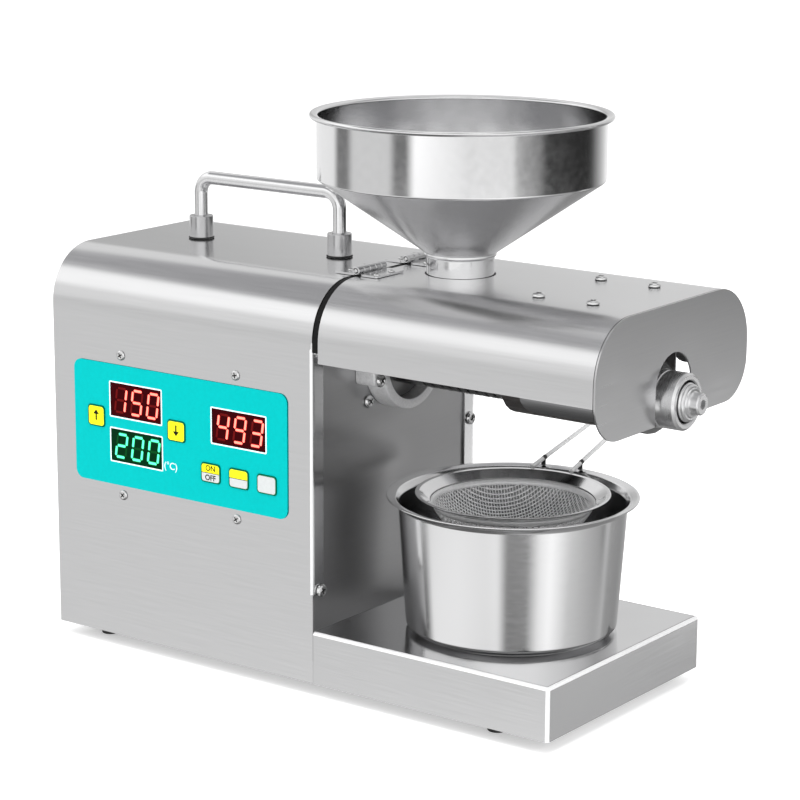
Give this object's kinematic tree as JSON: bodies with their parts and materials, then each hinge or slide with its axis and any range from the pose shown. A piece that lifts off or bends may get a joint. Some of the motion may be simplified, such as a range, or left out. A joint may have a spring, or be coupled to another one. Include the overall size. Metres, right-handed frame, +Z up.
{
  "type": "screw oil press",
  "caption": "Tabletop screw oil press: motor housing with control panel, heated press barrel under a hinged hood, feed hopper on top, and an oil pot with strainer on a tray.",
  "frame": {"origin": "bottom centre of the bounding box, on the surface the feet stand on", "axes": "+X towards the press nose, -Y towards the operator's panel side, +Z up"},
  "size_m": [0.4278, 0.2529, 0.3523],
  "materials": {
    "brushed_sheet": "brushed stainless sheet",
    "polished_sheet": "polished stainless",
    "machined_steel": "turned and ground steel",
    "motor_steel": "grey painted steel",
    "cast_alloy": "as cast",
    "heater_steel": "heat darkened",
    "rubber_black": "matt",
    "plastic_black": "matt",
    "panel_film": "printed film, satin",
    "display_window": "dark gloss",
    "key_yellow": "satin",
    "key_grey": "satin",
    "circuit_board": "green"
  },
  "bodies": {
    "root": {"base_tray": "brushed_sheet", "bottom_pan": "brushed_sheet", "carry_handle": "polished_sheet", "control_board": "circuit_board", "control_box": "plastic_black", "display_front": "display_window", "display_lower": "display_window", "display_upper": "display_window", "end_collar": "polished_sheet", "feed_chute": "brushed_sheet", "front_wall": "brushed_sheet", "gearbox_case": "cast_alloy", "gearbox_cover": "cast_alloy", "handle_boss_front": "polished_sheet", "handle_boss_rear": "polished_sheet", "heater_jacket": "heater_steel", "hinge_leaf_fixed_far": "polished_sheet", "hinge_leaf_fixed_near": "polished_sheet", "hinge_pin_far": "machined_steel", "hinge_pin_near": "machined_steel", "hood_gasket": "rubber_black", "housing_cover": "brushed_sheet", "motor_can": "motor_steel", "motor_cradle": "cast_alloy", "motor_end_bell": "cast_alloy", "output_bearing_front": "machined_steel", "output_bearing_rear": "machined_steel", "panel_film": "panel_film", "power_inlet": "plastic_black", "press_barrel": "machined_steel", "press_seat": "cast_alloy", "rear_panel": "brushed_sheet", "rubber_foot_front_far": "rubber_black", "rubber_foot_front_near": "rubber_black", "rubber_foot_rear_far": "rubber_black", "rubber_foot_rear_near": "rubber_black"},
    "motor_rotor": {"motor_shaft": "machined_steel", "motor_fan": "plastic_black", "motor_pinion": "machined_steel"},
    "idler": {"idler_gear": "machined_steel", "idler_pinion_shaft": "machined_steel"},
    "press_drive": {"output_gear": "machined_steel", "output_shaft": "machined_steel", "press_screw": "machined_steel"},
    "choke_nut": {"choke_nut": "polished_sheet"},
    "hood": {"hood_cover": "brushed_sheet", "hood_end_plate": "brushed_sheet", "heat_shield": "brushed_sheet", "hinge_leaf_hood_near": "polished_sheet", "hinge_leaf_hood_far": "polished_sheet"},
    "hopper": {"hopper": "polished_sheet"},
    "oil_pot": {"oil_pot": "polished_sheet"},
    "strainer": {"strainer_rim": "polished_sheet", "strainer_bowl": "polished_sheet", "strainer_handle": "polished_sheet"},
    "button_up": {"button_up": "key_yellow"},
    "button_down": {"button_down": "key_yellow"},
    "button_on_off": {"button_on_off": "key_yellow"},
    "button_press": {"button_press": "key_yellow"},
    "button_clear": {"button_clear": "key_grey"}
  },
  "joints": [
    {"name": "motor_turn", "type": "hinge", "parent": "root", "child": "motor_rotor", "pos_m": [-0.1033, -0.03494, 0.123], "axis": [1, 0, 0], "continuous": true},
    {"name": "idler_turn", "type": "hinge", "parent": "root", "child": "idler", "pos_m": [-0.0283, -0.03494, 0.1605], "axis": [1, 0, 0], "continuous": true},
    {"name": "screw_turn", "type": "hinge", "parent": "root", "child": "press_drive", "pos_m": [-0.0033, -0.03494, 0.198], "axis": [1, 0, 0], "continuous": true},
    {"name": "choke_nut_turn", "type": "hinge", "parent": "root", "child": "choke_nut", "pos_m": [0.1957, -0.03494, 0.198], "axis": [1, 0, 0], "range_deg": [-180, 180]},
    {"name": "hood_hinge", "type": "hinge", "parent": "root", "child": "hood", "pos_m": [-0.0003, -0.03494, 0.258], "axis": [0, -1, 0], "range_deg": [0, 95]},
    {"name": "hopper_lift", "type": "slide", "parent": "root", "child": "hopper", "axis": [0, 0, 1], "range_m": [0, 0.3]},
    {"name": "pot_slide", "type": "slide", "parent": "root", "child": "oil_pot", "axis": [0, -1, 0], "range_m": [0, 0.15]},
    {"name": "strainer_lift", "type": "slide", "parent": "oil_pot", "child": "strainer", "axis": [0, 0, 1], "range_m": [0, 0.015]},
    {"name": "button_up_travel", "type": "slide", "parent": "root", "child": "button_up", "axis": [0, 1, 0], "range_m": [0, 0.0005], "stiffness_N_per_m": 1500, "springref_m": -0.0003},
    {"name": "button_down_travel", "type": "slide", "parent": "root", "child": "button_down", "axis": [0, 1, 0], "range_m": [0, 0.0005], "stiffness_N_per_m": 1500, "springref_m": -0.0003},
    {"name": "button_on_off_travel", "type": "slide", "parent": "root", "child": "button_on_off", "axis": [0, 1, 0], "range_m": [0, 0.0005], "stiffness_N_per_m": 1500, "springref_m": -0.0003},
    {"name": "button_press_travel", "type": "slide", "parent": "root", "child": "button_press", "axis": [0, 1, 0], "range_m": [0, 0.0005], "stiffness_N_per_m": 1500, "springref_m": -0.0003},
    {"name": "button_clear_travel", "type": "slide", "parent": "root", "child": "button_clear", "axis": [0, 1, 0], "range_m": [0, 0.0005], "stiffness_N_per_m": 1500, "springref_m": -0.0003}
  ],
  "couplings": [
    {"joint": "idler_turn", "follows": "motor_turn", "ratio": -0.25},
    {"joint": "screw_turn", "follows": "motor_turn", "ratio": 0.0625},
    {"joint": "hopper_lift", "follows": "hood_hinge", "m_per_rad": 0.18}
  ]
}
